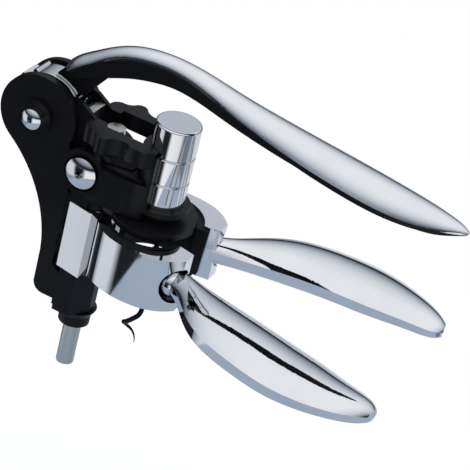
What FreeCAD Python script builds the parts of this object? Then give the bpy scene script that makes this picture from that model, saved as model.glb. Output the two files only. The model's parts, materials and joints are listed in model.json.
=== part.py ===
import FreeCAD, Part
import math
import os
from FreeCAD import Placement, Rotation, Vector

# Lever corkscrew: a geared lever lifts a carriage with a worm, two jaws clamp the bottle's neck.
# Origin: centre of the bottle's mouth, on the worm's axis. +X forward along the grips, +Z up.

SIZES = [
    ("worm_gap", 24.5, "worm axis in front of the guide rod axis"),
    ("pivot_gap", 28.8, "lever pivot behind the guide rod axis"),
    ("pivot_height", 26.3, "lever pivot above the bottle's mouth"),
    ("running_fit", 0.05, "radial clearance of a shaft in its bore"),
    ("side_gap", 0.3, "gap between flat faces that slide past each other"),
    ("cheek_disc", 16.5, "radius of a cheek's round head"),
    ("cheek_inner", 7.3, "centre plane to a cheek's inner face"),
    ("cheek_wall", 3.0, "thickness of a cheek"),
    ("cheek_front", 10.0, "front edge of the cheeks behind the guide rod axis"),
    ("cheek_rear", 16.2, "rear edge of the lower cheeks behind the guide rod axis"),
    ("cheek_drop", 74.6, "pivot to the bottom of the cheeks"),
    ("boss_radius", 6.6, "boss round the pivot pin"),
    ("boss_rise", 1.7, "boss standing off the cheek"),
    ("pin_radius", 3.0, "pivot pin shank"),
    ("pin_head", 4.15, "pivot pin head"),
    ("pin_head_rise", 3.2, "straight part of the pivot pin head"),
    ("gear_module", 1.75, "module of pinion and rack"),
    ("gear_teeth", 17, "teeth on the whole pinion circle"),
    ("gear_half", 4.9, "half width of pinion and rack"),
    ("backlash", 0.14, "play between pinion and rack teeth"),
    ("rack_back", 3.1, "rack bar behind its tooth roots"),
    ("rack_top", 8.0, "top of the rack above the pivot"),
    ("rack_drop", 61.8, "bottom of the rack below the pivot"),
    ("rod_radius", 3.65, "guide rod"),
    ("rod_top", 3.5, "top of the rod above the pivot"),
    ("rod_drop", 107.0, "bottom of the rod below the pivot"),
    ("tube_radius", 5.6, "outside of the guide tube that the jaws turn on"),
    ("knuckle_radius", 8.2, "outside of the jaw knuckles"),
    ("hub_top", 3.4, "top of the jaw hub below the mouth"),
    ("hub_drop", 33.2, "bottom of the jaw hub below the mouth"),
    ("housing_radius", 9.0, "worm housing"),
    ("housing_top", 17.0, "top of the worm housing above the pivot"),
    ("housing_drop", 17.3, "bottom of the worm housing below the pivot"),
    ("holder_wall", 2.6, "wall of the carriage round the worm housing"),
    ("arm_top", 6.8, "top of the carriage arms above the pivot"),
    ("arm_slot", 8.0, "half width of the slot between the arms"),
    ("bolt_back", 4.4, "side bolts behind the guide rod axis"),
    ("bolt_drop", 13.3, "side bolts below the pivot"),
    ("plate_thick", 2.7, "mouth plate"),
    ("plate_radius", 15.5, "front end of the mouth plate"),
    ("worm_mean", 2.9, "radius of the worm's centre line"),
    ("worm_wire", 1.0, "radius of the worm's wire"),
    ("worm_lead", 16.0, "rise of the worm in one turn"),
    ("worm_drop", 58.4, "worm tip below the mouth"),
    ("neck_radius", 14.5, "bottle neck that the closed jaws hold"),
    ("liner_wall", 3.0, "jaw liner"),
    ("jaw_wall", 3.2, "jaw ring"),
    ("jaw_drop", 23.2, "bottom of the jaw ring below the mouth"),
    ("jaw_open", 11.3, "angle that each jaw stands open in this pose"),
    ("grip_length", 96.0, "grip from its socket to its tip"),
    ("grip_half", 15.2, "half width of a grip at its widest"),
    ("grip_thick", 7.2, "half thickness of a grip at its thickest"),
    ("lever_length", 171.2, "lever tip in front of its pivot"),
    ("lever_half", 10.3, "half width of the lever at its widest"),
]

doc = FreeCAD.newDocument("lever_corkscrew")
sheet = doc.addObject("Spreadsheet::Sheet", "size")
for row, (alias, value, note) in enumerate(SIZES, 1):
    sheet.set("A%d" % row, note)
    sheet.set("B%d" % row, str(value))
    sheet.setAlias("B%d" % row, alias)
doc.recompute()


def size(alias):
    return float(sheet.get(alias))


X_AXIS, Y_AXIS, Z_AXIS = Vector(1, 0, 0), Vector(0, 1, 0), Vector(0, 0, 1)
TURN = {"x": Rotation(Y_AXIS, 90), "y": Rotation(X_AXIS, -90), "z": Rotation()}
ROD_X = -size("worm_gap")
PIVOT_X = ROD_X - size("pivot_gap")
PIVOT_Z = size("pivot_height")
pieces = []


def bind(item, **sizes):
    for prop, expression in sizes.items():
        item.setExpression(prop.replace("__", "."), expression)
    return item


def at(item, x="0", y="0", z="0"):
    return bind(item, Placement__Base__x=x, Placement__Base__y=y, Placement__Base__z=z)


def cylinder(name, radius, height, x="0", y="0", z="0", axis="z"):
    item = doc.addObject("Part::Cylinder", name)
    item.Placement.Rotation = TURN[axis]
    return at(bind(item, Radius=radius, Height=height), x, y, z)


def box(name, length, width, height, x="0", y="0", z="0"):
    item = doc.addObject("Part::Box", name)
    return at(bind(item, Length=length, Width=width, Height=height), x, y, z)


def fuse(name, *items):
    item = doc.addObject("Part::MultiFuse", name)
    item.Shapes = list(items)
    item.Refine = True
    return item


def cut(name, base, *tools):
    item = doc.addObject("Part::Cut", name)
    item.Base = base
    item.Tool = tools[0] if len(tools) == 1 else fuse(name + "_tools", *tools)
    item.Refine = True
    return item


def piece(label, item):
    item.Label = label
    pieces.append(item)
    return item


def solid(name, shape):
    item = doc.addObject("Part::Feature", name)
    item.Shape = shape
    return item


# Outlines: a start point, then (x, y) for a straight edge or (middle, end) for an arc.
PLANES = {"plan": Rotation(), "side": Rotation(X_AXIS, 90)}
NORMALS = {"plan": Z_AXIS, "side": Y_AXIS}


def outline(start, *moves):
    edges, here = [], Vector(start[0], start[1], 0)
    for move in list(moves) + [start]:
        curved = isinstance(move[0], tuple)
        there = Vector(*(move[1] if curved else move), 0)
        if curved:
            edges.append(Part.Arc(here, Vector(*move[0], 0), there))
        elif there.distanceToPoint(here) > 1e-6:
            edges.append(Part.LineSegment(here, there))
        here = there
    return edges


def slab(name, plane, edges, start, thick):
    profile = doc.addObject("Sketcher::SketchObject", name + "_profile")
    profile.Placement.Rotation = PLANES[plane]
    profile.addGeometry(edges)
    bind(profile, **{"Placement__Base__" + ("z" if plane == "plan" else "y"): start})
    item = doc.addObject("Part::Extrusion", name)
    item.Base = profile
    item.DirMode = "Custom"
    item.Dir = NORMALS[plane]
    item.Solid = True
    return bind(item, LengthFwd=thick)


def polar(centre, radius, degrees):
    angle = math.radians(degrees)
    return (centre[0] + radius * math.cos(angle), centre[1] + radius * math.sin(angle))


def arc_to(centre, radius, first, last):
    return (polar(centre, radius, (first + last) / 2), polar(centre, radius, last))


# Places used again and again, as expressions and as numbers
ROD = "-size.worm_gap"
PIVOT = "-size.worm_gap - size.pivot_gap"
HIGH = "size.pivot_height"
PIVOT_POINT = (PIVOT_X, PIVOT_Z)
CHEEK_OUTER = size("cheek_inner") + size("cheek_wall")
PITCH_RADIUS = size("gear_module") * size("gear_teeth") / 2
PITCH = math.pi * size("gear_module")
SIDES = (("right", -1), ("left", 1))


def both_sides(side, inner, thick):
    """Start of a slab that lies between inner and inner + thick from the centre plane."""
    return inner if side > 0 else "-(%s) - (%s)" % (inner, thick)


# Frame: hidden dowels that hold the guide block between the cheeks
DOWEL_BACKS = ("13.0", "8.6")
DOWEL_HALF = "size.cheek_inner + 1.5"
DOWEL_LEVEL = HIGH + " - size.cheek_drop + 5.0"


def dowels(name, half):
    return fuse(name, *[cylinder(name + "_" + back.replace(".", "_"), "1.5", "2 * (%s)" % half, ROD + " - " + back,
                                 "-(%s)" % half, DOWEL_LEVEL, "y") for back in DOWEL_BACKS])


# Frame: cheeks
def cheek(name, side):
    rear = ROD_X - size("cheek_rear")
    front = ROD_X - size("cheek_front")
    foot_front = front + 4.0
    bottom = PIVOT_Z - size("cheek_drop")
    head = size("cheek_disc")
    edges = outline(
        polar(PIVOT_POINT, head, -20),
        arc_to(PIVOT_POINT, head, -20, 110),
        arc_to(PIVOT_POINT, head, 110, 235),
        ((rear - 7.0, PIVOT_Z - 31.0), (rear, PIVOT_Z - 56.0)),
        (rear, bottom + 5.0),
        ((rear + 1.4, bottom + 1.3), (rear + 5.0, bottom)),
        (foot_front, bottom),
        (foot_front, bottom + 12.0),
        (front, bottom + 15.0),
        (front, PIVOT_Z - 18.0),
    )
    plate = slab(name + "_plate", "side", edges,
                 both_sides(side, "size.cheek_inner", "size.cheek_wall"), "size.cheek_wall")
    outer = both_sides(side, "size.cheek_inner + size.cheek_wall", "size.boss_rise")
    boss = cylinder(name + "_boss", "size.boss_radius", "size.boss_rise",
                    PIVOT, outer, HIGH, "y")
    hole = cylinder(name + "_hole", "size.pin_radius", "40", PIVOT, "-20", HIGH, "y")
    return cut(name + "_body", fuse(name + "_solid", plate, boss), hole,
               dowels(name + "_dowel_holes", DOWEL_HALF))


for word, side in SIDES:
    piece(word + "_cheek", cheek(word + "_cheek", side))

# Frame: mouth plate over the jaw hubs, with lugs that reach back to the cheeks
SEAT = size("plate_radius")
HUB_EDGE = 10.3
PLATE_WING = 18.3
plate_edges = outline(
    (ROD_X - 8.2, -HUB_EDGE),
    (ROD_X + 6.0, -HUB_EDGE),
    polar((0, 0), PLATE_WING, -135),
    arc_to((0, 0), PLATE_WING, -135, -75),
    (polar((0, 0), SEAT, -28), (SEAT, 0)),
    (polar((0, 0), SEAT, 28), polar((0, 0), PLATE_WING, 75)),
    arc_to((0, 0), PLATE_WING, 75, 135),
    (ROD_X + 6.0, HUB_EDGE),
    (ROD_X - 8.2, HUB_EDGE),
)
block_edges = outline(
    (ROD_X - 8.2, -HUB_EDGE),
    (ROD_X - 0.5, -HUB_EDGE),
    (ROD_X - 0.5, -9.3),
    ((ROD_X + 9.3, 0), (ROD_X - 0.5, 9.3)),
    (ROD_X - 0.5, HUB_EDGE),
    (ROD_X - 8.2, HUB_EDGE),
)
plate = slab("plate_flat", "plan", plate_edges, "0", "size.plate_thick")
hub_block = slab("plate_block", "plan", block_edges, "-size.hub_top + size.side_gap",
                 "size.hub_top - size.side_gap + size.plate_thick")
lugs = [box(word + "_lug", "8.4", "2.0", "4.3", ROD + " - 15.8",
            both_sides(side, "size.cheek_inner - 2.0", "2.0"), "-4.3 + size.plate_thick")
        for word, side in SIDES]
worm_way = cylinder("worm_way", "size.worm_mean + size.worm_wire + 0.6", "20", "0", "0", "-5")
nut_pocket = cylinder("nut_pocket", "8.0", "5", "0", "0", "1.2")
tube_seat = cylinder("tube_seat", "size.tube_radius", "20", ROD, "0", "-10")
rack_way = box("rack_way", "6.5", "2 * size.gear_half + 1.0", "20", ROD + " - 14.5",
               "-size.gear_half - 0.5", "-10")
piece("mouth_plate", cut("mouth_plate_body", fuse("mouth_plate_solid", plate, hub_block, *lugs),
                         worm_way, nut_pocket, tube_seat, rack_way))

# Frame: guide block low between the cheeks
FOOT_FRONT = ROD_X - size("cheek_front") + 4.0
BLOCK_TOP = "-size.hub_drop - size.side_gap"
block_outline = outline(
    (ROD_X - 8.0, -size("cheek_inner")),
    (FOOT_FRONT, -size("cheek_inner")),
    (FOOT_FRONT, -HUB_EDGE),
    (ROD_X + 1.5, -HUB_EDGE),
    (ROD_X + 6.7, -2.2),
    (ROD_X + 6.7, 2.2),
    (ROD_X + 1.5, HUB_EDGE),
    (FOOT_FRONT, HUB_EDGE),
    (FOOT_FRONT, size("cheek_inner")),
    (ROD_X - 8.0, size("cheek_inner")),
)
sleeve = slab("sleeve", "plan", block_outline, BLOCK_TOP + " - 19.5", "19.5")
heel = box("heel", "10.0", "2 * size.cheek_inner", "10.4", ROD + " - size.cheek_rear + 0.4",
           "-size.cheek_inner", HIGH + " - size.cheek_drop")
neck = doc.addObject("Part::Cone", "sleeve_neck")
bind(neck, Radius1="6.4", Radius2="8.2", Height="3.2")
at(neck, ROD, "0", BLOCK_TOP + " - 22.7")
spout = cylinder("sleeve_spout", "6.4", "5.0", ROD, "0", BLOCK_TOP + " - 26.8")
tube_hole = cylinder("tube_hole", "size.tube_radius", "60", ROD, "0", "-80")
piece("guide_block", cut("guide_block_body", fuse("guide_block_solid", sleeve, heel, neck, spout),
                         tube_hole, dowels("block_dowel_holes", DOWEL_HALF)))

# Frame: guide tube that the jaws turn on, and the bushes in its ends
TUBE_FOOT = BLOCK_TOP + " - 26.8"
TUBE_LENGTH = "size.plate_thick + size.hub_drop + size.side_gap + 26.8"
tube = cylinder("tube_outside", "size.tube_radius", TUBE_LENGTH, ROD, "0", TUBE_FOOT)
tube_bore = cylinder("tube_bore", "size.tube_radius - 0.8", "90", ROD, "0", "-80")
piece("guide_tube", cut("guide_tube_body", tube, tube_bore))
bushes = [cylinder("bush_" + end, "size.tube_radius - 0.8", "12", ROD, "0", foot)
          for end, foot in (("top", "size.plate_thick - 12"), ("foot", TUBE_FOOT))]
bush_bore = cylinder("bush_bore", "size.rod_radius + size.running_fit", "90", ROD, "0", "-80")
piece("guide_bushes", cut("guide_bushes_body", fuse("bushes", *bushes), bush_bore))

# Worm: a right-hand helix of third-turn arcs below a disc, with a pointed end and a shank
WORM_TOP = 7.1
MEAN, WIRE, LEAD = size("worm_mean"), size("worm_wire"), size("worm_lead")
PHASE = 249.0
POINT_RADIUS = 0.15
TAPER_TURNS = 0.54
WORM_BITE = 0.6
SHANK = 2.5
DISC_RADIUS, DISC_THICK, SHANK_LENGTH = 4.4, 1.6, 18.0


def helix_point(level):
    angle = 2 * math.pi * level / LEAD + math.radians(PHASE)
    return Vector(MEAN * math.cos(angle), MEAN * math.sin(angle), level)


def helix_arc(level, rise):
    return Part.Arc(helix_point(level), helix_point(level + rise / 2),
                    helix_point(level + rise)).toShape()


def worm_shape():
    low = TAPER_TURNS * LEAD - size("worm_drop")
    steps = math.ceil((WORM_TOP + WORM_BITE - low) / (LEAD / 3))
    rise = (WORM_TOP + WORM_BITE - low) / steps
    arcs = [helix_arc(low + i * rise, rise) for i in range(steps)]
    start, away = helix_point(low), arcs[0].tangentAt(arcs[0].FirstParameter)
    section = Part.Wire(Part.makeCircle(WIRE, start, away))
    turns = Part.Wire(arcs).makePipeShell([section], True, True)
    fall = -TAPER_TURNS * LEAD / 2
    last = [helix_arc(low, fall), helix_arc(low + fall, fall)]
    begin = Part.Wire(Part.makeCircle(WIRE, start, last[0].tangentAt(last[0].FirstParameter)))
    end = Part.Wire(Part.makeCircle(POINT_RADIUS, helix_point(low + 2 * fall),
                                    last[1].tangentAt(last[1].LastParameter)))
    taper = Part.Wire(last).makePipeShell([begin, end], True, True)
    joint = Part.makeSphere(WIRE, start)
    disc = Part.makeCylinder(DISC_RADIUS, DISC_THICK, Vector(0, 0, WORM_TOP))
    shank = Part.makeCylinder(SHANK, SHANK_LENGTH, Vector(0, 0, WORM_TOP + DISC_THICK))
    return turns.multiFuse([joint, taper, disc, shank]).removeSplitter().Solids[0]


piece("worm", solid("worm_body", worm_shape()))
collar_ring = cylinder("collar_ring", "6.5", "2.5", "0", "0", "14.0")
collar_hole = cylinder("collar_hole", str(SHANK), "10", "0", "0", "10.0")
piece("worm_collar", cut("worm_collar_body", collar_ring, collar_hole))

# Frame: nut block in the mouth plate, one pin above the worm's wire and one below it
NUT_RADIUS, NUT_FOOT, NUT_HEIGHT = 8.0, 1.2, 5.2
PIN_RADIUS, PIN_PLAY = 1.0, 0.25
nut_ring = cylinder("nut_ring", str(NUT_RADIUS), str(NUT_HEIGHT), "0", "0", str(NUT_FOOT))
nut_bore = cylinder("nut_bore", "size.worm_mean + size.worm_wire + 0.6", "10")
PIN_INNER = MEAN - 0.9
PIN_LEVELS = ((4.6, -1), (3.0, 1))


def nut_pins(name, radius):
    steep = math.atan(LEAD / (2 * math.pi * MEAN))
    apart = (WIRE + PIN_RADIUS + PIN_PLAY) / math.cos(steep)
    pins = []
    for level, side in PIN_LEVELS:
        angle = PHASE + 360.0 * (level + side * apart) / LEAD
        direction = Vector(*polar((0, 0), 1.0, angle), 0)
        pins.append(Part.makeCylinder(radius, NUT_RADIUS - 0.1 - PIN_INNER,
                                      direction * PIN_INNER + Z_AXIS * level, direction))
    return solid(name, Part.makeCompound(pins))


piece("nut_block", cut("nut_block_body", nut_ring, nut_bore, nut_pins("nut_pin_holes", PIN_RADIUS)))
piece("nut_pins", nut_pins("nut_pins_body", PIN_RADIUS))

# Frame: dowels, pivot pin and pivot cap
piece("cheek_dowels", dowels("cheek_dowels_body", DOWEL_HALF))


def dome(name, radius, rise, foot, side):
    """Shallow ball cap on a flat face at foot from the centre plane, square to the pivot."""
    ball = (radius ** 2 + rise ** 2) / (2 * rise)
    cap = Part.makeSphere(ball, Vector(0, 0, rise - ball), Z_AXIS,
                          math.degrees(math.asin((ball - rise) / ball)), 90, 360)
    cap.Placement = Placement(Vector(PIVOT_X, side * foot, PIVOT_Z), Rotation(Z_AXIS, Y_AXIS * side))
    return cap


BOSS_FACE = CHEEK_OUTER + size("boss_rise")


def pin_head(name, side):
    level = BOSS_FACE + size("pin_head_rise")
    start = "size.cheek_inner + size.cheek_wall + size.boss_rise"
    stem = cylinder(name + "_stem", "size.pin_head", "size.pin_head_rise", PIVOT,
                    both_sides(side, start, "size.pin_head_rise"), HIGH, "y")
    head = dome(name, size("pin_head"), 1.5, 0, side)
    head.Placement.Base.y = side * level
    return fuse(name + "_solid", stem, solid(name + "_dome", head))


pin_shank = cylinder("pin_shank", "size.pin_radius", "2 * size.cheek_inner + 2 * size.cheek_wall"
                     " + 2 * size.boss_rise", PIVOT,
                     "-size.cheek_inner - size.cheek_wall - size.boss_rise", HIGH, "y")
piece("pivot_pin", fuse("pivot_pin_body", pin_shank, pin_head("pin_right", -1)))
piece("pivot_cap", pin_head("pin_left", 1))

# Lever: pinion with involute flanks, drawn with a tooth gap facing the rack
MODULE, TEETH = size("gear_module"), int(size("gear_teeth"))
PRESSURE = math.radians(20)
BASE_RADIUS = PITCH_RADIUS * math.cos(PRESSURE)
TIP_RADIUS = PITCH_RADIUS + MODULE
ROOT_RADIUS = PITCH_RADIUS - 1.25 * MODULE


def involute(angle):
    return math.tan(angle) - angle


def flank_point(radius, centre, side):
    """Point at a radius on one flank of the tooth whose centre line is at an angle."""
    radius = max(radius, BASE_RADIUS)
    half = (math.pi / 2 - size("backlash") / (2 * MODULE)) / TEETH + involute(PRESSURE)
    spread = half - involute(math.acos(BASE_RADIUS / radius))
    return polar(PIVOT_POINT, radius, math.degrees(centre + side * spread))


BARE_TEETH = range(2, 5)
BARE_RADIUS = TIP_RADIUS - 1.1


def pinion_outline():
    moves = []
    for number in range(TEETH):
        centre = 2 * math.pi * (number + 0.5) / TEETH
        if number in BARE_TEETH:
            continue
        foot = math.degrees(math.atan2(flank_point(BASE_RADIUS, centre, -1)[1] - PIVOT_Z,
                                       flank_point(BASE_RADIUS, centre, -1)[0] - PIVOT_X))
        middle = math.degrees(centre)
        half = (middle - foot) % 360
        moves.append(polar(PIVOT_POINT, ROOT_RADIUS, middle - half))
        moves.append(flank_point(BASE_RADIUS, centre, -1))
        moves.append((flank_point(PITCH_RADIUS, centre, -1), flank_point(TIP_RADIUS, centre, -1)))
        moves.append((polar(PIVOT_POINT, TIP_RADIUS, middle), flank_point(TIP_RADIUS, centre, 1)))
        moves.append((flank_point(PITCH_RADIUS, centre, 1), flank_point(BASE_RADIUS, centre, 1)))
        moves.append(polar(PIVOT_POINT, ROOT_RADIUS, middle + half))
        moves.append((polar(PIVOT_POINT, ROOT_RADIUS, math.degrees(centre) + 180.0 / TEETH),
                      polar(PIVOT_POINT, ROOT_RADIUS, middle + 360.0 / TEETH - half)))
    moves[-1] = (moves[-1][0], moves[0])
    return outline(*moves)


def bare_rim(name):
    first = 360.0 * BARE_TEETH[0] / TEETH - 3
    last = 360.0 * (BARE_TEETH[-1] + 1) / TEETH + 3
    edges = outline(PIVOT_POINT, polar(PIVOT_POINT, BARE_RADIUS, first),
                    arc_to(PIVOT_POINT, BARE_RADIUS, first, last))
    return slab(name, "side", edges, "-size.gear_half", "2 * size.gear_half")


def beside_pivot(across, up):
    return (PIVOT_X + across, PIVOT_Z + up)


pinion = slab("pinion", "side", pinion_outline(), "-size.gear_half", "2 * size.gear_half")
web_edges = outline(beside_pivot(-6.0, 8.0), beside_pivot(8.0, 4.0), beside_pivot(13.5, 13.0),
                    beside_pivot(18.2, 19.6), beside_pivot(24.0, 27.5), beside_pivot(21.0, 30.5),
                    beside_pivot(12.0, 24.5), beside_pivot(2.0, 17.0))
WEB_HALF = 3.4
web = slab("lever_web", "side", web_edges, str(-WEB_HALF), str(2 * WEB_HALF))
bush_hole = cylinder("bush_hole", "size.pin_radius + 0.9", "40", PIVOT, "-20", HIGH, "y")
piece("lever_gear", cut("lever_gear_body", fuse("lever_gear_solid", pinion, bare_rim("bare_rim"), web), bush_hole))
bush_half = "(size.cheek_inner - 0.2)"
bush_ring = cylinder("bush_ring", "size.pin_radius + 0.9", "2 * " + bush_half, PIVOT,
                     "-" + bush_half, HIGH, "y")
pin_bore = cylinder("pin_bore", "size.pin_radius + size.running_fit", "40", PIVOT, "-20", HIGH, "y")
piece("lever_bush", cut("lever_bush_body", bush_ring, pin_bore))

# Lever: sections square to the crown line, as (across, up, half width, dome, insert depth)
RIM_SHARE = 0.2
INSERT_SHARE, INSERT_MOST, INSERT_STRAIGHT = 0.92, 6.5, 0.8
LEVER_STATIONS = (
    (3.8, 21.6, 5.4, 2.6, 3.0),
    (12.0, 29.3, 4.9, 3.4, 6.0),
    (19.7, 34.4, 4.5, 3.8, 7.2),
    (27.9, 38.4, 4.4, 4.3, 7.4),
    (38.9, 41.0, 4.5, 4.4, 7.0),
    (50.0, 41.4, 4.7, 4.5, 5.8),
    (73.3, 38.0, 6.4, 5.1, 3.8),
    (98.6, 34.6, 8.8, 6.6, 2.4),
    (124.0, 31.9, 10.3, 7.2, 1.6),
    (148.6, 29.3, 9.0, 6.6, 1.2),
    (163.0, 27.3, 5.4, 4.2, 0.8),
    (169.0, 25.7, 2.8, 2.4, 0.5),
    (171.2, 24.3, 1.0, 1.0, 0.3),
)


BEND_END = 50.0
DRAWN_LENGTH = LEVER_STATIONS[-1][0]
DRAWN_HALF = max(station[2] for station in LEVER_STATIONS)


def lever_stations():
    """Stations with the handle past its bend drawn to the lever's length and width."""
    stretch = (size("lever_length") - BEND_END) / (DRAWN_LENGTH - BEND_END)
    widen = size("lever_half") / DRAWN_HALF
    for across, up, half, rise, depth in LEVER_STATIONS:
        if across > BEND_END:
            across = BEND_END + (across - BEND_END) * stretch
            half *= widen
        yield across, up, half, rise, depth


def lever_sections(kind):
    crown = Part.BSplineCurve()
    crown.interpolate([Vector(*beside_pivot(*station[:2]), 0) for station in lever_stations()])
    wires = []
    for across, up, half, rise, depth in lever_stations():
        place = Vector(*beside_pivot(across, up), 0)
        along = crown.tangent(crown.parameter(place))[0]
        middle = Vector(place.x, 0, place.y)
        down = Vector(along.y, 0, -along.x)
        rim_drop = rise + RIM_SHARE * half
        inset = min(INSERT_SHARE * half, INSERT_MOST)

        def point(aside, drop):
            return middle + Y_AXIS * aside + down * drop

        if kind == "shell":
            edges = [Part.Arc(point(-half, rise), point(0, 0), point(half, rise)).toShape(),
                     Part.makeLine(point(half, rise), point(half, rim_drop)),
                     Part.makeLine(point(half, rim_drop), point(-half, rim_drop)),
                     Part.makeLine(point(-half, rim_drop), point(-half, rise))]
        else:
            edge = rim_drop + depth * INSERT_STRAIGHT
            edges = [Part.makeLine(point(-inset, rise), point(inset, rise)),
                     Part.makeLine(point(inset, rise), point(inset, edge)),
                     Part.Arc(point(inset, edge), point(0, rim_drop + depth),
                              point(-inset, edge)).toShape(),
                     Part.makeLine(point(-inset, edge), point(-inset, rise))]
        wires.append(Part.Wire(edges))
    return wires


def lever_solid(name):
    return solid(name, Part.makeLoft(lever_sections(name.split("_")[1]), True, False))


web_slot = slab("web_slot", "side", web_edges, str(-WEB_HALF), str(2 * WEB_HALF))
crown = lever_solid("lever_shell_loft")
piece("lever_shell", cut("lever_shell_body", crown, web_slot))
ROOT_HALF = 3.8
root = slab("insert_root", "side", outline(*[beside_pivot(*point) for point in (
    (1.6, 17.2), (14.0, 12.1), (18.9, 19.1), (22.9, 24.4), (28.5, 28.3), (28.5, 36.0),
    (19.7, 32.0), (12.0, 27.0), (3.8, 20.0))]), str(-ROOT_HALF), str(2 * ROOT_HALF))
tooth_way = cylinder("tooth_way", str(TIP_RADIUS + 0.1), "40", PIVOT, "-20", HIGH, "y")
piece("lever_insert", cut("lever_insert_body", fuse("insert_solid", lever_solid("lever_insert_loft"),
                                                    root), crown, web_slot, tooth_way))

# Carriage: body that slides with the guide rod and carries the worm housing
ARM_SLOT = size("arm_slot")


def flipped(point):
    return (point[0], -point[1])


def both_halves(start, *moves):
    """Outline that goes along the far side from the back and returns along the near side."""
    ends = [start] + [move[1] if isinstance(move[0], tuple) else move for move in moves]
    back = [flipped(ends[-1])]
    for move, end in zip(reversed(moves), reversed(ends[:-1])):
        curved = isinstance(move[0], tuple)
        back.append((flipped(move[0]), flipped(end)) if curved else flipped(end))
    return outline(start, *moves, *back)


def rod(x, y):
    return (ROD_X + x, y)


RACK_BACK = -size("pivot_gap") + PITCH_RADIUS + 1.25 * MODULE + size("rack_back")
arm_edges = both_halves(
    rod(RACK_BACK, 8.6),
    (rod(-8.0, 11.6), rod(-5.5, 13.4)),
    (rod(-2.6, 13.9), rod(-0.8, 15.9)),
    (rod(1.6, 17.4), rod(4.2, 16.2)),
    (rod(7.2, 13.4), rod(11.0, 13.0)),
    (rod(15.4, 14.6), rod(19.9, 14.0)),
    rod(22.5, 11.4),
)
arms = slab("arms_plate", "plan", arm_edges, HIGH, "size.arm_top")
arm_gap = box("arm_gap", "30", "2 * size.arm_slot", "20", ROD + " - 2.0", "-size.arm_slot", HIGH + " - 5")
arm_back = box("arm_back", "20", "10.4", "30", ROD + " - 20.0", "-5.2", HIGH + " - 3")
core_foot = HIGH + " - 23"
core_high = slab("core_high", "plan", both_halves(
    rod(RACK_BACK, 8.8), rod(6.0, 9.6), rod(13.6, 8.0)), HIGH + " - 10", "4")
core_low = slab("core_low", "plan", both_halves(
    rod(RACK_BACK, 10.0), (rod(-6.4, 11.4), rod(-4.4, 12.0)), (rod(6.0, 13.5), rod(16.0, 13.2)),
    (rod(20.0, 12.6), rod(22.5, 11.4))), core_foot, "15")
core_brow = slab("core_brow", "plan", both_halves(
    rod(RACK_BACK, 9.2), (rod(-6.4, 10.4), rod(-4.4, 10.9)), (rod(6.0, 12.2), rod(16.0, 11.9)),
    rod(20.0, 11.4)), core_foot, "16.4")
plate_outline = outline(*[(ROD_X + x, PIVOT_Z + z) for x, z in (
    (-17.0, 12.0), (-13.0, 11.0), (-5.0, 6.0), (-5.0, -12.0), (-17.0, -12.0))])
PLATE_INNER, PLATE_WALL = "size.gear_half + size.side_gap", "1.8"
rear_plates, bosses, recesses = [], [], []
for word, side in SIDES:
    rear_plates.append(slab(word + "_rear_plate", "side", plate_outline,
                            both_sides(side, PLATE_INNER, PLATE_WALL), PLATE_WALL))
    rear_plates.append(box(word + "_bridge", "6.0", "3.6", "18.0", ROD + " - 8.6",
                           both_sides(side, PLATE_INNER, "3.6"), HIGH + " - 12"))
    bosses.append(cylinder(word + "_bolt_boss", "9.6", "2.9", ROD + " - size.bolt_back",
                           both_sides(side, "10.6", "2.9"), HIGH + " - size.bolt_drop", "y"))
    bosses.append(cylinder(word + "_bolt_root", "8.6", "2.6", ROD + " - size.bolt_back + 4.4",
                           both_sides(side, "8.0", "2.6"), HIGH + " - size.bolt_drop", "y"))
    recesses.append(cylinder(word + "_bolt_recess", "7.6", "5", ROD + " - size.bolt_back",
                             both_sides(side, "12.0", "5"), HIGH + " - size.bolt_drop", "y"))
    recesses.append(cylinder(word + "_bolt_hole", "3.0", "10", ROD + " - size.bolt_back",
                             both_sides(side, "5.0", "10"), HIGH + " - size.bolt_drop", "y"))
def along_x(name, radius, first, last, level):
    return cylinder(name, radius, "%s" % (last - first), ROD + " + (%s)" % first, "0",
                    HIGH + " - %s" % level, "x")


RACK_SCREWS = (("high", 8.4), ("low", 20.0))


def rack_screws(name):
    return fuse(name, *[along_x(name + "_" + end, "1.3", RACK_BACK - 2.2, -3.65, level)
                        for end, level in RACK_SCREWS])


HOLDER_RADIUS = "size.housing_radius + size.holder_wall"
holder_foot = HIGH + " - size.housing_drop - 2.2"
holder = cylinder("holder_ring", HOLDER_RADIUS, "2.2 + size.housing_drop + 5", "0", "0", holder_foot)
holder_bore = cylinder("holder_bore", "size.housing_radius", "60", "0", "0",
                       HIGH + " - size.housing_drop")
holder_front = box("holder_front", "40", "60", "17.3 + 10", "-0.8", "-30", HIGH + " - size.housing_drop")
worm_passage = cylinder("worm_passage", "5.0", "60")
nut_way = cylinder("nut_way", str(NUT_RADIUS + 0.4), str(NUT_FOOT + NUT_HEIGHT + 0.3))
rod_hole = cylinder("rod_hole", "size.rod_radius", "80", ROD, "0", "-40")
core_solid = fuse("carriage_solid", cut("arms", arms, arm_gap, arm_back), core_high, core_low, core_brow,
                  holder, *rear_plates, *bosses)
piece("carriage_body", cut("carriage_body_cut", core_solid, holder_bore, holder_front,
                           worm_passage, nut_way, rod_hole, rack_screws("core_screw_holes"),
                           *recesses))

# Carriage: rack
TOOTH_TIP = RACK_BACK - size("rack_back") - 2.25 * MODULE
TOOTH_ROOT = RACK_BACK - size("rack_back")


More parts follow.
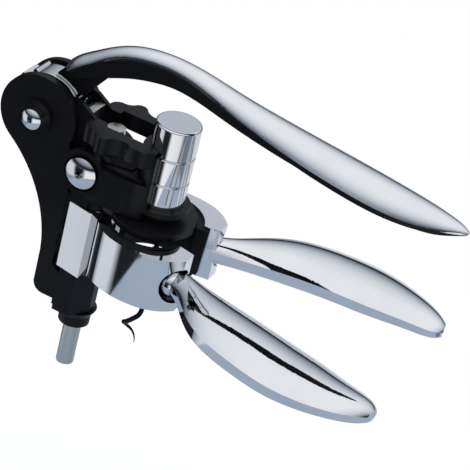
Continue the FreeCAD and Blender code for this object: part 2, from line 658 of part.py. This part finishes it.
def rack_outline():
    tilt = math.tan(PRESSURE)
    lean_tip, lean_root = MODULE * tilt, 1.25 * MODULE * tilt
    half = PITCH / 4 - size("backlash") / 4
    top, foot = size("rack_top"), -size("rack_drop")
    points = [(RACK_BACK, foot), (RACK_BACK, top), (TOOTH_ROOT, top)]
    count = int(top // PITCH)
    while count * PITCH - half - lean_root > foot:
        level = count * PITCH
        points += [(TOOTH_ROOT, level + half + lean_root), (TOOTH_TIP, level + half - lean_tip),
                   (TOOTH_TIP, level - half + lean_tip), (TOOTH_ROOT, level - half - lean_root)]
        count -= 1
    points.append((TOOTH_ROOT, foot))
    return outline(*[(ROD_X + x, PIVOT_Z + z) for x, z in points])


rack_bar = slab("rack_bar", "side", rack_outline(), "-size.gear_half", "2 * size.gear_half")
piece("rack", cut("rack_body", rack_bar, rack_screws("rack_screw_holes")))
piece("rack_screws", rack_screws("rack_screws_body"))

# Carriage: guide rod and side bolts
rod_cut = cylinder("rod_bar", "size.rod_radius", "size.rod_top + size.rod_drop", ROD, "0",
                   HIGH + " - size.rod_drop")
piece("guide_rod", rod_cut)
for word, side in SIDES:
    shank = cylinder(word + "_bolt_shank", "3.0", "7.0", ROD + " - size.bolt_back",
                     both_sides(side, "5.0", "7.0"), HIGH + " - size.bolt_drop", "y")
    head = cylinder(word + "_bolt_head", "6.4", "2.2", ROD + " - size.bolt_back",
                    both_sides(side, "12.0", "2.2"), HIGH + " - size.bolt_drop", "y")
    cap = dome(word, 6.4, 1.8, 14.2, side)
    cap.Placement.Base.x = ROD_X - size("bolt_back")
    cap.Placement.Base.z = PIVOT_Z - size("bolt_drop")
    socket = doc.addObject("Part::Prism", word + "_bolt_socket")
    socket.Polygon = 6
    socket.Circumradius = 1.9
    socket.Height = 5
    socket.Placement.Rotation = TURN["y"]
    at(socket, ROD + " - size.bolt_back", both_sides(side, "13.4", "5"), HIGH + " - size.bolt_drop")
    piece(word + "_side_bolt", cut(word + "_side_bolt_body", fuse(
        word + "_bolt_solid", shank, head, solid(word + "_bolt_dome", cap)), socket))

# Carriage: worm housing with its cap, bearing and thrust washer
BEARING_FLOOR, LINING, CAP_THICK, CAP_PLUG, CAP_ROUND = 4.1, 7.2, 1.8, 3.0, 0.9
GROOVE_HALF, GROOVE_DEEP = 0.6, 0.5
SHANK_BORE = SHANK + size("running_fit")
BARREL, FLOOR = size("housing_radius"), PIVOT_Z - size("housing_drop")
BARREL_TOP = PIVOT_Z + size("housing_top") - CAP_THICK


def revolved(name, edges):
    profile = doc.addObject("Sketcher::SketchObject", name + "_profile")
    profile.Placement.Rotation = PLANES["side"]
    profile.addGeometry(edges)
    item = doc.addObject("Part::Revolution", name)
    item.Source = profile
    item.Axis = Z_AXIS
    item.Solid = True
    return item


def groove(level):
    low, high = PIVOT_Z + level - GROOVE_HALF, PIVOT_Z + level + GROOVE_HALF
    return [(BARREL, low), ((BARREL - GROOVE_DEEP, PIVOT_Z + level), (BARREL, high))]


piece("worm_housing", revolved("worm_housing_body", outline(
    (SHANK_BORE, FLOOR), (BARREL, FLOOR), *groove(-6.9), *groove(4.2), (BARREL, BARREL_TOP),
    (LINING, BARREL_TOP), (LINING, FLOOR + BEARING_FLOOR), (SHANK_BORE, FLOOR + BEARING_FLOOR))))
CAP_TOP = BARREL_TOP + CAP_THICK
round_middle = polar((BARREL - CAP_ROUND, CAP_TOP - CAP_ROUND), CAP_ROUND, 45)
piece("housing_cap", revolved("housing_cap_body", outline(
    (0, BARREL_TOP - CAP_PLUG), (LINING, BARREL_TOP - CAP_PLUG), (LINING, BARREL_TOP),
    (BARREL, BARREL_TOP), (BARREL, CAP_TOP - CAP_ROUND),
    (round_middle, (BARREL - CAP_ROUND, CAP_TOP)), (0, CAP_TOP))))
for name, level, high in (("thrust_washer", 13.1, 0.85), ("upper_bearing", 16.55, 5.0)):
    ring = cylinder(name + "_ring", str(LINING), str(high), "0", "0", str(level))
    hole = cylinder(name + "_bore", str(SHANK) + " + size.running_fit", "40")
    piece(name, cut(name + "_body", ring, hole))

# Jaws: drawn closed round the neck, then opened about the guide rod
DRAWN_RING = 20.7
RING_GROWTH = size("neck_radius") + size("liner_wall") + size("jaw_wall") - DRAWN_RING
LINER_RADIUS = "size.neck_radius + size.liner_wall"
STOREY = "(size.hub_drop - size.hub_top) / 4"
JAW_CLEAR = 8.6


def opened(item, side):
    """Turn a closed jaw piece about the guide rod to where the photo pose has it."""
    item.Placement.Rotation = Rotation(Z_AXIS, side * size("jaw_open"))
    item.setExpression("Placement.Rotation.Angle", "size.jaw_open")
    item.Placement.Rotation.Axis = Z_AXIS * side
    return bind(item, Placement__Base__x="-size.worm_gap + size.worm_gap * cos(size.jaw_open)",
                Placement__Base__y="%d * size.worm_gap * sin(size.jaw_open)" % side)


def grown(x, y):
    """Point drawn beside a ring of DRAWN_RING, pushed outward as far as the real ring is wider."""
    share = 1 + RING_GROWTH / math.hypot(x, y)
    return (x * share, y * share)


def on_side(side, moves):
    """The same moves for an outline, on the far side (1) or the near side (-1)."""
    def turned(move):
        if isinstance(move[0], tuple):
            return tuple(turned(point) for point in move)
        return (move[0], side * move[1])
    return [turned(move) for move in moves]


JAW_BACK, JAW_HEEL, JAW_FLAT = ROD_X - 6.2, ROD_X + 5.0, 11.0
JAW_PLAN = (
    (JAW_BACK, JAW_CLEAR),
    (JAW_BACK, JAW_FLAT),
    (JAW_HEEL, JAW_FLAT),
    grown(-11.8, 16.6),
    (grown(-6.8, 20.0), grown(-1.5, 21.4)),
    (grown(5.5, 21.4), grown(12.1, 19.9)),
    (grown(19.6, 15.9), grown(25.2, 8.2)),
    grown(24.0, 2.0),
    (10.0, 2.0),
    (-10.0, JAW_CLEAR),
)


def jaw(word, side):
    plan = outline(*on_side(side, JAW_PLAN))
    body = slab(word + "_jaw_plan", "plan", plan, "-size.hub_drop", "size.hub_drop - size.side_gap")
    profile = outline(
        (ROD_X - 7.0, -size("hub_drop")), (ROD_X + 5.0, -size("hub_drop")),
        ((ROD_X + 11.5, -size("jaw_drop") - 3.2), (ROD_X + 17.0, -size("jaw_drop"))),
        (60.0, -size("jaw_drop")), (60.0, -0.3), (ROD_X + 12.0, -0.3),
        (ROD_X + 4.0, -size("hub_top")), (ROD_X - 7.0, -size("hub_top")))
    side_view = slab(word + "_jaw_side", "side", profile, "-40", "80")
    common = doc.addObject("Part::MultiCommon", word + "_jaw_common")
    common.Shapes = [body, side_view]
    parts = [common]
    for number in range(4):
        if number % 2 == (0 if side < 0 else 1):
            foot = "-size.hub_top - %d * %s" % (number + 1, STOREY)
            low = foot + " + size.side_gap / 2"
            high = STOREY + " - size.side_gap"
            knuckle = cylinder("%s_knuckle_%d" % (word, number), "size.knuckle_radius", high,
                               ROD, "0", low)
            bridge = box("%s_bridge_%d" % (word, number), "10.0", "5.0", high, ROD + " - 5.6",
                         both_sides(side, "5.2", "5.0"), low)
            parts += [knuckle, bridge]
    neck = cylinder(word + "_neck_way", LINER_RADIUS, "60", "0", "0", "-50")
    tube = cylinder(word + "_tube_way", "size.tube_radius + size.running_fit", "60", ROD, "0", "-50")
    return fuse(word + "_jaw_solid", *parts), [neck, tube]


def grip_point(side, along, aside=0.0):
    """Point on a closed grip: along 0 at its socket and 1 at its tip, aside away from the centre."""
    sag = GRIP_RISE - GRIP_SAG * max(0.0, along - GRIP_BEND) / (1 - GRIP_BEND)
    return Vector(GRIP_START + along * GRIP_REACH, side * (6.5 + 1.9 * along + aside), GRIP_LEVEL + sag)


# Grip stations as (along, aside, half width, half thickness)
GRIP_START, GRIP_LEVEL = 22.7, -12.9
GRIP_REACH = size("grip_length") - 1.3
GRIP_RISE, GRIP_SAG, GRIP_BEND, GRIP_BAND = 1.0, 2.2, 0.4, 0.3
GRIP_STATIONS = (
    (0.00, 0.5, 5.6, 5.2),
    (0.08, 2.6, 7.0, 5.6),
    (0.21, 7.2, 11.5, 6.6),
    (0.42, 10.2, 14.8, 7.2),
    (0.61, 9.8, 15.2, 6.8),
    (0.77, 7.6, 13.4, 6.0),
    (0.88, 4.6, 10.6, 5.2),
    (0.96, 1.6, 7.0, 4.2),
    (1.00, 0.3, 3.0, 2.4),
)
WIDEST = max(station[2] for station in GRIP_STATIONS)
THICKEST = max(station[3] for station in GRIP_STATIONS)
BULB = (21.6, 8.2, 5.4)
RECESS = (25.5, 9.5, 7.6)


def grip_section(side, along, aside, half, thick):
    """Two arcs joined by upright sides, in a plane square to the length."""
    middle = grip_point(side, along, aside)
    half = half / WIDEST * size("grip_half")
    thick = thick / THICKEST * size("grip_thick")
    band = GRIP_BAND * thick

    def point(across, up):
        return middle + Y_AXIS * across + Z_AXIS * up

    return Part.Wire([
        Part.Arc(point(-half, band), point(0, thick), point(half, band)).toShape(),
        Part.makeLine(point(half, band), point(half, -band)),
        Part.Arc(point(half, -band), point(0, -thick), point(-half, -band)).toShape(),
        Part.makeLine(point(-half, -band), point(-half, band))])


def ball(spec, side):
    return Part.makeSphere(spec[2], Vector(spec[0], side * spec[1], GRIP_LEVEL + GRIP_RISE))


def grip_loft(side):
    loft = Part.makeLoft([grip_section(side, *station) for station in GRIP_STATIONS], True, False)
    return loft.fuse(ball(BULB, side))


def stud(name, side):
    start = Vector(GRIP_START - 3.0, side * 8.4, GRIP_LEVEL)
    return solid(name, Part.makeCylinder(1.6, 15.0, start, X_AXIS))


RIVET_ANGLES = (235, 300)


def liner_rivets(name, side):
    rivets = []
    for angle in RIVET_ANGLES:
        direction = Vector(*polar((0, 0), 1.0, angle), 0)
        direction.y *= -side
        start = direction * (size("neck_radius") + 1.0) + Z_AXIS * GRIP_LEVEL
        rivets.append(Part.makeCylinder(1.2, size("liner_wall") + 1.0, start, direction))
    return solid(name, Part.makeCompound(rivets))


LIP_BACK = 14.8


def liner(word, side):
    ring = cylinder(word + "_liner_ring", LINER_RADIUS, "size.jaw_drop - 1.0", "0", "0",
                    "-size.jaw_drop - 0.5")
    bore = cylinder(word + "_liner_bore", "size.neck_radius", "60", "0", "0", "-50")
    reach = 40.0
    keep = [(reach * math.cos(math.radians(angle)), -side * reach * math.sin(math.radians(angle)))
            for angle in (205, 235, 270, 305, 354)]
    wedge = slab(word + "_liner_wedge", "plan", outline((0, 0), *keep), "-40", "40")
    lip = slab(word + "_liner_lip", "side", outline(
        (LIP_BACK, -1.5), (LIP_BACK + 5.0, -1.5), (LIP_BACK + 4.2, 1.2 - size("jaw_drop")),
        (LIP_BACK, 1.2 - size("jaw_drop"))), both_sides(side, "0.4", "1.6"), "1.6")
    common = doc.addObject("Part::MultiCommon", word + "_liner_common")
    common.Shapes = [ring, wedge]
    return fuse(word + "_liner_solid", common, lip), bore


for word, side in SIDES:
    base, tools = jaw(word, side)
    socket = doc.addObject("Part::Feature", word + "_socket")
    socket.Shape = grip_loft(side)
    recess = solid(word + "_recess", ball(RECESS, side))
    jaw_cut = cut(word + "_jaw_closed", base, *tools, stud(word + "_stud_hole", side), socket, recess,
                  liner_rivets(word + "_rivet_holes", side))
    piece(word + "_jaw", opened(jaw_cut, side))
    pad, bore = liner(word, side)
    piece(word + "_liner", opened(cut(word + "_liner_body", pad, bore,
                                      liner_rivets(word + "_pad_holes", side)), side))
    piece(word + "_liner_rivets", opened(liner_rivets(word + "_rivets", side), side))
    loft = solid(word + "_grip_loft", grip_loft(side))
    piece(word + "_grip", opened(cut(word + "_grip_body", loft, stud(word + "_grip_hole", side)), side))
    piece(word + "_grip_stud", opened(stud(word + "_grip_stud_rod", side), side))

# Check every shape and write each piece to its own file
doc.recompute()
for item in doc.Objects:
    if "Invalid" in item.State or "Error" in item.State:
        raise ValueError("%s: %s" % (item.Name, item.State))
os.makedirs("parts", exist_ok=True)
for item in pieces:
    if item.Shape.isNull() or not item.Shape.isValid() or not item.Shape.Solids:
        raise ValueError("%s has no valid solid" % item.Label)
for item in pieces:
    item.Shape.exportStep("parts/%s.step" % item.Label)
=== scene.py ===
import json
import math

import bpy
from mathutils import Matrix, Vector

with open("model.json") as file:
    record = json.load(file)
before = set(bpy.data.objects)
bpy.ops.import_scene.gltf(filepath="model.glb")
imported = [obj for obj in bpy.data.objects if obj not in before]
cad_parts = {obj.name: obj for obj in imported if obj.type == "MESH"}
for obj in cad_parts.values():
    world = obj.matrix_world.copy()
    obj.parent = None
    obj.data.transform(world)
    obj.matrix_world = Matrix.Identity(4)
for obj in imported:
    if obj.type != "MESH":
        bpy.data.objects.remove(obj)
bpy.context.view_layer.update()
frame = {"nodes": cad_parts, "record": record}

# Camera: fitted to the photograph, in metres in the frame's own axes
AZIMUTH = math.radians(18.68)
ELEVATION = math.radians(30.99)
ROLL = math.radians(15.06)
PIVOT_OVER_ROD = Vector((-0.0245, 0.0, 0.0263))
EYE_RIGHT, EYE_UP, EYE_BACK = 0.05404, -0.02486, 0.800
IMAGE_PIXELS = 470.0
FOCAL_PIXELS = 2096.0
SENSOR = 36.0
CLIP_START, CLIP_END = 0.01, 20.0


def make_camera():
    """Look at the tool from its right front side, leaning as the photograph does."""
    right = Vector((math.cos(AZIMUTH), math.sin(AZIMUTH), 0.0))
    back = Vector((math.sin(AZIMUTH) * math.cos(ELEVATION),
                   -math.cos(AZIMUTH) * math.cos(ELEVATION),
                   math.sin(ELEVATION)))
    up = back.cross(right)
    eye = PIVOT_OVER_ROD + right * EYE_RIGHT + up * EYE_UP + back * EYE_BACK
    across = right * math.cos(ROLL) + up * math.sin(ROLL)
    upward = up * math.cos(ROLL) - right * math.sin(ROLL)
    turn = Matrix((across, upward, back)).transposed()
    camera = bpy.data.objects.new("camera", bpy.data.cameras.new("camera"))
    camera.data.lens = FOCAL_PIXELS / IMAGE_PIXELS * SENSOR
    camera.data.sensor_width = SENSOR
    camera.data.clip_start = CLIP_START
    camera.data.clip_end = CLIP_END
    camera.matrix_world = Matrix.Translation(eye) @ turn.to_4x4()
    bpy.context.collection.objects.link(camera)
    bpy.context.scene.camera = camera
    return across, upward, back


ACROSS, UPWARD, BACK = make_camera()

# Materials: where a noise node's middle values lie, and how much of AO counts as a crevice for the
# painted shade
NOISE_LOW, NOISE_HIGH = 0.3, 0.7
SHUT, OPEN = 0.25, 0.75


class Tree:
    """One procedural material, with short calls for the nodes that it needs."""

    def __init__(self, name):
        self.material = bpy.data.materials.new(name)
        self.material.use_nodes = True
        self.nodes = self.material.node_tree.nodes
        self.links = self.material.node_tree.links
        self.shader = self.nodes["Principled BSDF"]
        self.place = self.nodes.new("ShaderNodeTexCoord").outputs["Object"]

    def link(self, source, target):
        self.links.new(source, target)

    def drive(self, name, source):
        """Link a value to the shader's socket of that name."""
        self.link(source, self.shader.inputs[name])

    def set(self, name, value):
        self.shader.inputs[name].default_value = value

    def noise(self, scale, detail, roughness=0.5, stretch=None):
        node = self.nodes.new("ShaderNodeTexNoise")
        node.inputs["Scale"].default_value = scale
        node.inputs["Detail"].default_value = detail
        node.inputs["Roughness"].default_value = roughness
        place = self.place
        if stretch:
            mapping = self.nodes.new("ShaderNodeMapping")
            mapping.inputs["Scale"].default_value = stretch
            self.link(place, mapping.inputs["Vector"])
            place = mapping.outputs["Vector"]
        self.link(place, node.inputs["Vector"])
        return node.outputs["Fac"]

    def span(self, value, low, high, start=NOISE_LOW, end=NOISE_HIGH):
        node = self.nodes.new("ShaderNodeMapRange")
        node.inputs["From Min"].default_value = start
        node.inputs["From Max"].default_value = end
        node.inputs["To Min"].default_value = low
        node.inputs["To Max"].default_value = high
        self.link(value, node.inputs["Value"])
        return node.outputs["Result"]

    def mix(self, noise, first, second):
        """Blend two colours by a noise."""
        node = self.nodes.new("ShaderNodeMix")
        node.data_type = "RGBA"
        node.inputs["A"].default_value = (*first, 1.0)
        node.inputs["B"].default_value = (*second, 1.0)
        self.link(self.span(noise, 0.0, 1.0), node.inputs["Factor"])
        return node.outputs["Result"]

    def painted_crevice_shade(self, colour, dark, reach):
        """Paint shade into a colour in crevices narrower than the reach."""
        open_share = self.nodes.new("ShaderNodeAmbientOcclusion")
        open_share.inputs["Distance"].default_value = reach
        node = self.nodes.new("ShaderNodeMix")
        node.data_type = "RGBA"
        node.inputs["A"].default_value = (*dark, 1.0)
        self.link(colour, node.inputs["B"])
        share = self.span(open_share.outputs["AO"], 0.0, 1.0, SHUT, OPEN)
        self.link(share, node.inputs["Factor"])
        return node.outputs["Result"]

    def bump(self, height, strength, distance):
        node = self.nodes.new("ShaderNodeBump")
        node.inputs["Strength"].default_value = strength
        node.inputs["Distance"].default_value = distance
        self.link(height, node.inputs["Height"])
        self.drive("Normal", node.outputs["Normal"])


def chrome():
    tree = Tree("chrome")
    tree.set("Metallic", 1.0)
    plating = tree.mix(tree.noise(60.0, 4.0), (0.82, 0.83, 0.85), (0.77, 0.78, 0.80))
    # The chrome's colour is darkened by ambient occlusion: painted shade in grooves and between
    # parts.
    tree.drive("Base Color", tree.painted_crevice_shade(plating, (0.03, 0.03, 0.035), 0.0022))
    tree.drive("Roughness", tree.span(tree.noise(90.0, 3.0), 0.03, 0.055))
    tree.bump(tree.noise(40.0, 1.0), 0.006, 0.0002)
    return tree.material


def satin_steel():
    tree = Tree("satin_steel")
    tree.set("Metallic", 1.0)
    grain = tree.noise(900.0, 3.0, 0.6, (1.0, 1.0, 0.04))
    tree.drive("Base Color", tree.mix(grain, (0.66, 0.66, 0.65), (0.55, 0.55, 0.54)))
    tree.drive("Roughness", tree.span(grain, 0.24, 0.36))
    tree.bump(grain, 0.15, 0.00005)
    return tree.material


def bronze():
    tree = Tree("bronze")
    tree.set("Metallic", 1.0)
    grain = tree.noise(1500.0, 3.0)
    tree.drive("Base Color", tree.mix(grain, (0.45, 0.32, 0.17), (0.33, 0.22, 0.11)))
    tree.drive("Roughness", tree.span(grain, 0.35, 0.5))
    return tree.material


# Blacks: two base colours, roughness low and high, grain scale, bump strength
BLACKS = {
    "black_body": ((0.004, 0.004, 0.005), (0.007, 0.007, 0.008), 0.30, 0.42, 1800.0, 0.10),
    "black_insert": ((0.003, 0.003, 0.004), (0.005, 0.005, 0.006), 0.32, 0.45, 1500.0, 0.12),
    "black_liner": ((0.004, 0.004, 0.004), (0.007, 0.007, 0.007), 0.5, 0.65, 1300.0, 0.2),
    "black_coating": ((0.004, 0.004, 0.005), (0.008, 0.008, 0.009), 0.22, 0.32, 1600.0, 0.08),
}
BLACK_SPECULAR = 0.22
BLOTCH_SCALE = 45.0
GRAIN_DEPTH = 0.0001


def black_surface(name, dark, light, low, high, grain_scale, bump_strength):
    tree = Tree(name)
    tree.set("Specular IOR Level", BLACK_SPECULAR)
    grain = tree.noise(grain_scale, 4.0, 0.6)
    tree.drive("Base Color", tree.mix(tree.noise(BLOTCH_SCALE, 3.0), dark, light))
    tree.drive("Roughness", tree.span(grain, low, high))
    tree.bump(grain, bump_strength, GRAIN_DEPTH)
    return tree.material


MATERIALS = {"chrome": chrome(), "steel": satin_steel(), "bronze": bronze()}
MATERIALS.update({name: black_surface(name, *values) for name, values in BLACKS.items()})

# Edges: a small round everywhere but on pieces that are smooth all over
SMOOTH_ALL_OVER = ("worm", "left_grip", "right_grip", "lever_shell")
EDGE_ROUND = 0.0004
EDGE_SEGMENTS = 2
EDGE_ANGLE = math.radians(40.0)


def round_edges(node):
    """Small rounded edges that catch the light as the real castings' edges do."""
    bevel = node.modifiers.new("rounded_edges", "BEVEL")
    bevel.width = EDGE_ROUND
    bevel.segments = EDGE_SEGMENTS
    bevel.limit_method = "ANGLE"
    bevel.angle_limit = EDGE_ANGLE


def patches(mesh):
    """Lists of faces that share points: one list for each smooth face of the CAD solid."""
    faces_at = {}
    for face in mesh.polygons:
        for point in face.vertices:
            faces_at.setdefault(point, []).append(face)
    seen, found = set(), []
    for start in mesh.polygons:
        if start.index in seen:
            continue
        seen.add(start.index)
        patch, edge = [], [start]
        while edge:
            face = edge.pop()
            patch.append(face)
            for point in face.vertices:
                for other in faces_at[point]:
                    if other.index not in seen:
                        seen.add(other.index)
                        edge.append(other)
        found.append(patch)
    return found


def blacken_rim(node):
    """The shell's rim and underside, all but its crowned top, take the black insert's material: it
    carries the insert round the rim and paints the shadow line under the lever's edge.
    """
    node.data.materials.append(MATERIALS["black_insert"])
    for patch in sorted(patches(node.data), key=len)[:-1]:
        for face in patch:
            face.material_index = 1


def dress():
    """Give every CAD node the material of its slot, and round its edges."""
    slots = {part["node"]: part["material_slot"] for part in frame["record"]["subparts"]}
    for name, node in frame["nodes"].items():
        node.data.materials.clear()
        node.data.materials.append(MATERIALS[slots[name]])
        # The lever shell's rim is black for the insert and also as a painted shadow line under its
        # edge.
        if name == "lever_shell":
            blacken_rim(node)
        if name not in SMOOTH_ALL_OVER:
            round_edges(node)


dress()

# Room: a round table top, white to the camera but for the object's faint shadow
FLOOR_LEVEL = -0.16
FLOOR_CENTRE = (0.08, -0.05)
FLOOR_RADIUS = 0.25
FLOOR_SIDES = 96
FLOOR_COLOUR = (0.38, 0.45, 0.54, 1.0)
FLOOR_ROUGHNESS = 0.9
PAPER_COLOUR = (0.9, 0.9, 0.9, 1.0)
GLOW_STRENGTH = 1.1
GLOW_SHARE = 0.6
WHITE = (1.0, 1.0, 1.0, 1.0)


def floor_material():
    material = bpy.data.materials.new("pale_floor")
    material.use_nodes = True
    nodes, links = material.node_tree.nodes, material.node_tree.links
    base = nodes["Principled BSDF"]
    base.inputs["Base Color"].default_value = FLOOR_COLOUR
    base.inputs["Roughness"].default_value = FLOOR_ROUGHNESS
    glow = nodes.new("ShaderNodeEmission")
    glow.inputs["Strength"].default_value = GLOW_STRENGTH
    paper = nodes.new("ShaderNodeBsdfDiffuse")
    paper.inputs["Color"].default_value = PAPER_COLOUR
    seen = nodes.new("ShaderNodeMixShader")
    seen.inputs["Fac"].default_value = GLOW_SHARE
    links.new(paper.outputs["BSDF"], seen.inputs[1])
    links.new(glow.outputs["Emission"], seen.inputs[2])
    path = nodes.new("ShaderNodeLightPath")
    mix = nodes.new("ShaderNodeMixShader")
    links.new(path.outputs["Is Camera Ray"], mix.inputs["Fac"])
    links.new(base.outputs["BSDF"], mix.inputs[1])
    links.new(seen.outputs["Shader"], mix.inputs[2])
    links.new(mix.outputs["Shader"], nodes["Material Output"].inputs["Surface"])
    return material


def make_floor():
    mesh = bpy.data.meshes.new("floor")
    corners = []
    for side in range(FLOOR_SIDES):
        angle = math.tau * side / FLOOR_SIDES
        corners.append((FLOOR_CENTRE[0] + FLOOR_RADIUS * math.cos(angle),
                        FLOOR_CENTRE[1] + FLOOR_RADIUS * math.sin(angle),
                        FLOOR_LEVEL))
    mesh.from_pydata(corners, [], [tuple(range(FLOOR_SIDES))])
    floor = bpy.data.objects.new("floor", mesh)
    bpy.context.collection.objects.link(floor)
    mesh.materials.append(floor_material())


# Surroundings: the sky by height of view, and screens below the horizon by bearing
SKY = (
    (0.00, (0.10, 0.11, 0.13)),
    (0.03, (0.01, 0.01, 0.012)),
    (0.12, (0.01, 0.01, 0.015)),
    (0.24, (0.22, 0.25, 0.30)),
    (0.50, (0.55, 0.59, 0.65)),
    (0.85, (0.95, 0.96, 0.98)),
)
GREY = (0.25, 0.26, 0.28)
DARK = (0.015, 0.016, 0.02)
PALE = (0.72, 0.75, 0.80)
BRIGHT = (1.0, 1.0, 1.0)
SOFT = (0.85, 0.88, 0.92)
BLUE = (0.17, 0.22, 0.29)
GROUND = (0.26, 0.32, 0.40)
SCREENS = ((0.00, GREY), (0.04, PALE), (0.12, PALE), (0.15, DARK), (0.225, DARK), (0.262, BRIGHT),
           (0.385, SOFT), (0.42, BLUE), (0.52, BLUE), (0.56, PALE), (0.79, PALE), (0.82, DARK),
           (0.98, DARK))
SCREENS_TOP, SKY_FOOT = -0.12, 0.02
SCREENS_FOOT, GROUND_EDGE = -0.60, -0.70


class World:
    """The world's node tree, with short calls for the nodes that it needs."""

    def __init__(self, world):
        world.use_nodes = True
        self.nodes = world.node_tree.nodes
        self.links = world.node_tree.links

    def ramp(self, value, stops, interpolation):
        node = self.nodes.new("ShaderNodeValToRGB")
        node.color_ramp.interpolation = interpolation
        for _ in range(len(stops) - 2):
            node.color_ramp.elements.new(0.5)
        for element, (position, colour) in zip(node.color_ramp.elements, stops):
            element.position = position
            element.color = (*colour, 1.0)
        self.links.new(value, node.inputs["Fac"])
        return node.outputs["Color"]

    def share(self, value, start, end):
        node = self.nodes.new("ShaderNodeMapRange")
        node.inputs["From Min"].default_value = start
        node.inputs["From Max"].default_value = end
        self.links.new(value, node.inputs["Value"])
        return node.outputs["Result"]

    def mix(self, factor, first):
        node = self.nodes.new("ShaderNodeMix")
        node.data_type = "RGBA"
        self.links.new(factor, node.inputs["Factor"])
        self.links.new(first, node.inputs["A"])
        return node


def make_world():
    """White to the camera; to everything else a soft dome, with tall screens below its horizon."""
    bpy.context.scene.world = bpy.data.worlds.new("studio")
    world = World(bpy.context.scene.world)
    nodes, links = world.nodes, world.links
    place = nodes.new("ShaderNodeTexCoord")
    parts = nodes.new("ShaderNodeSeparateXYZ")
    links.new(place.outputs["Generated"], parts.inputs["Vector"])
    height = parts.outputs["Z"]
    bearing = nodes.new("ShaderNodeMath")
    bearing.operation = "ARCTAN2"
    links.new(parts.outputs["Y"], bearing.inputs[0])
    links.new(parts.outputs["X"], bearing.inputs[1])
    turn = world.share(bearing.outputs["Value"], -math.pi, math.pi)
    screens = world.ramp(turn, SCREENS, "LINEAR")
    around = world.mix(world.share(height, SCREENS_TOP, SKY_FOOT), screens)
    links.new(world.ramp(height, SKY, "B_SPLINE"), around.inputs["B"])
    below = world.share(height, SCREENS_FOOT, GROUND_EDGE)
    ground = world.mix(below, around.outputs["Result"])
    ground.inputs["B"].default_value = (*GROUND, 1.0)
    lit = nodes["Background"]
    links.new(ground.outputs["Result"], lit.inputs["Color"])
    lit.inputs["Strength"].default_value = 1.0
    seen = nodes.new("ShaderNodeBackground")
    seen.inputs["Color"].default_value = WHITE
    path = nodes.new("ShaderNodeLightPath")
    mix = nodes.new("ShaderNodeMixShader")
    links.new(path.outputs["Is Camera Ray"], mix.inputs["Fac"])
    links.new(lit.outputs["Background"], mix.inputs[1])
    links.new(seen.outputs["Background"], mix.inputs[2])
    links.new(mix.outputs["Shader"], nodes["World Output"].inputs["Surface"])


# Lamps: power in watts, width, height, and place seen from the object
CENTRE = Vector((0.02, 0.0, 0.0))
LAMPS = (
    ("over_lamp", 3.2, 0.9, 0.9, Vector((0.0, 0.1, 0.9))),
    ("left_lamp", 1.6, 0.5, 1.0, ACROSS * -0.9 + UPWARD * 0.25 + BACK * 0.35),
    ("right_lamp", 1.2, 0.4, 1.0, ACROSS * 0.9 + UPWARD * 0.1 + BACK * 0.3),
)


def make_lamp(name, power, wide, high, place):
    data = bpy.data.lights.new(name, "AREA")
    data.shape = "RECTANGLE"
    data.size = wide
    data.size_y = high
    data.energy = power
    lamp = bpy.data.objects.new(name, data)
    lamp.location = CENTRE + place
    lamp.rotation_euler = (-place).to_track_quat("-Z", "Y").to_euler()
    lamp.visible_glossy = False
    bpy.context.collection.objects.link(lamp)


make_floor()
make_world()
for lamp_values in LAMPS:
    make_lamp(*lamp_values)
bpy.context.scene.view_settings.view_transform = "Standard"
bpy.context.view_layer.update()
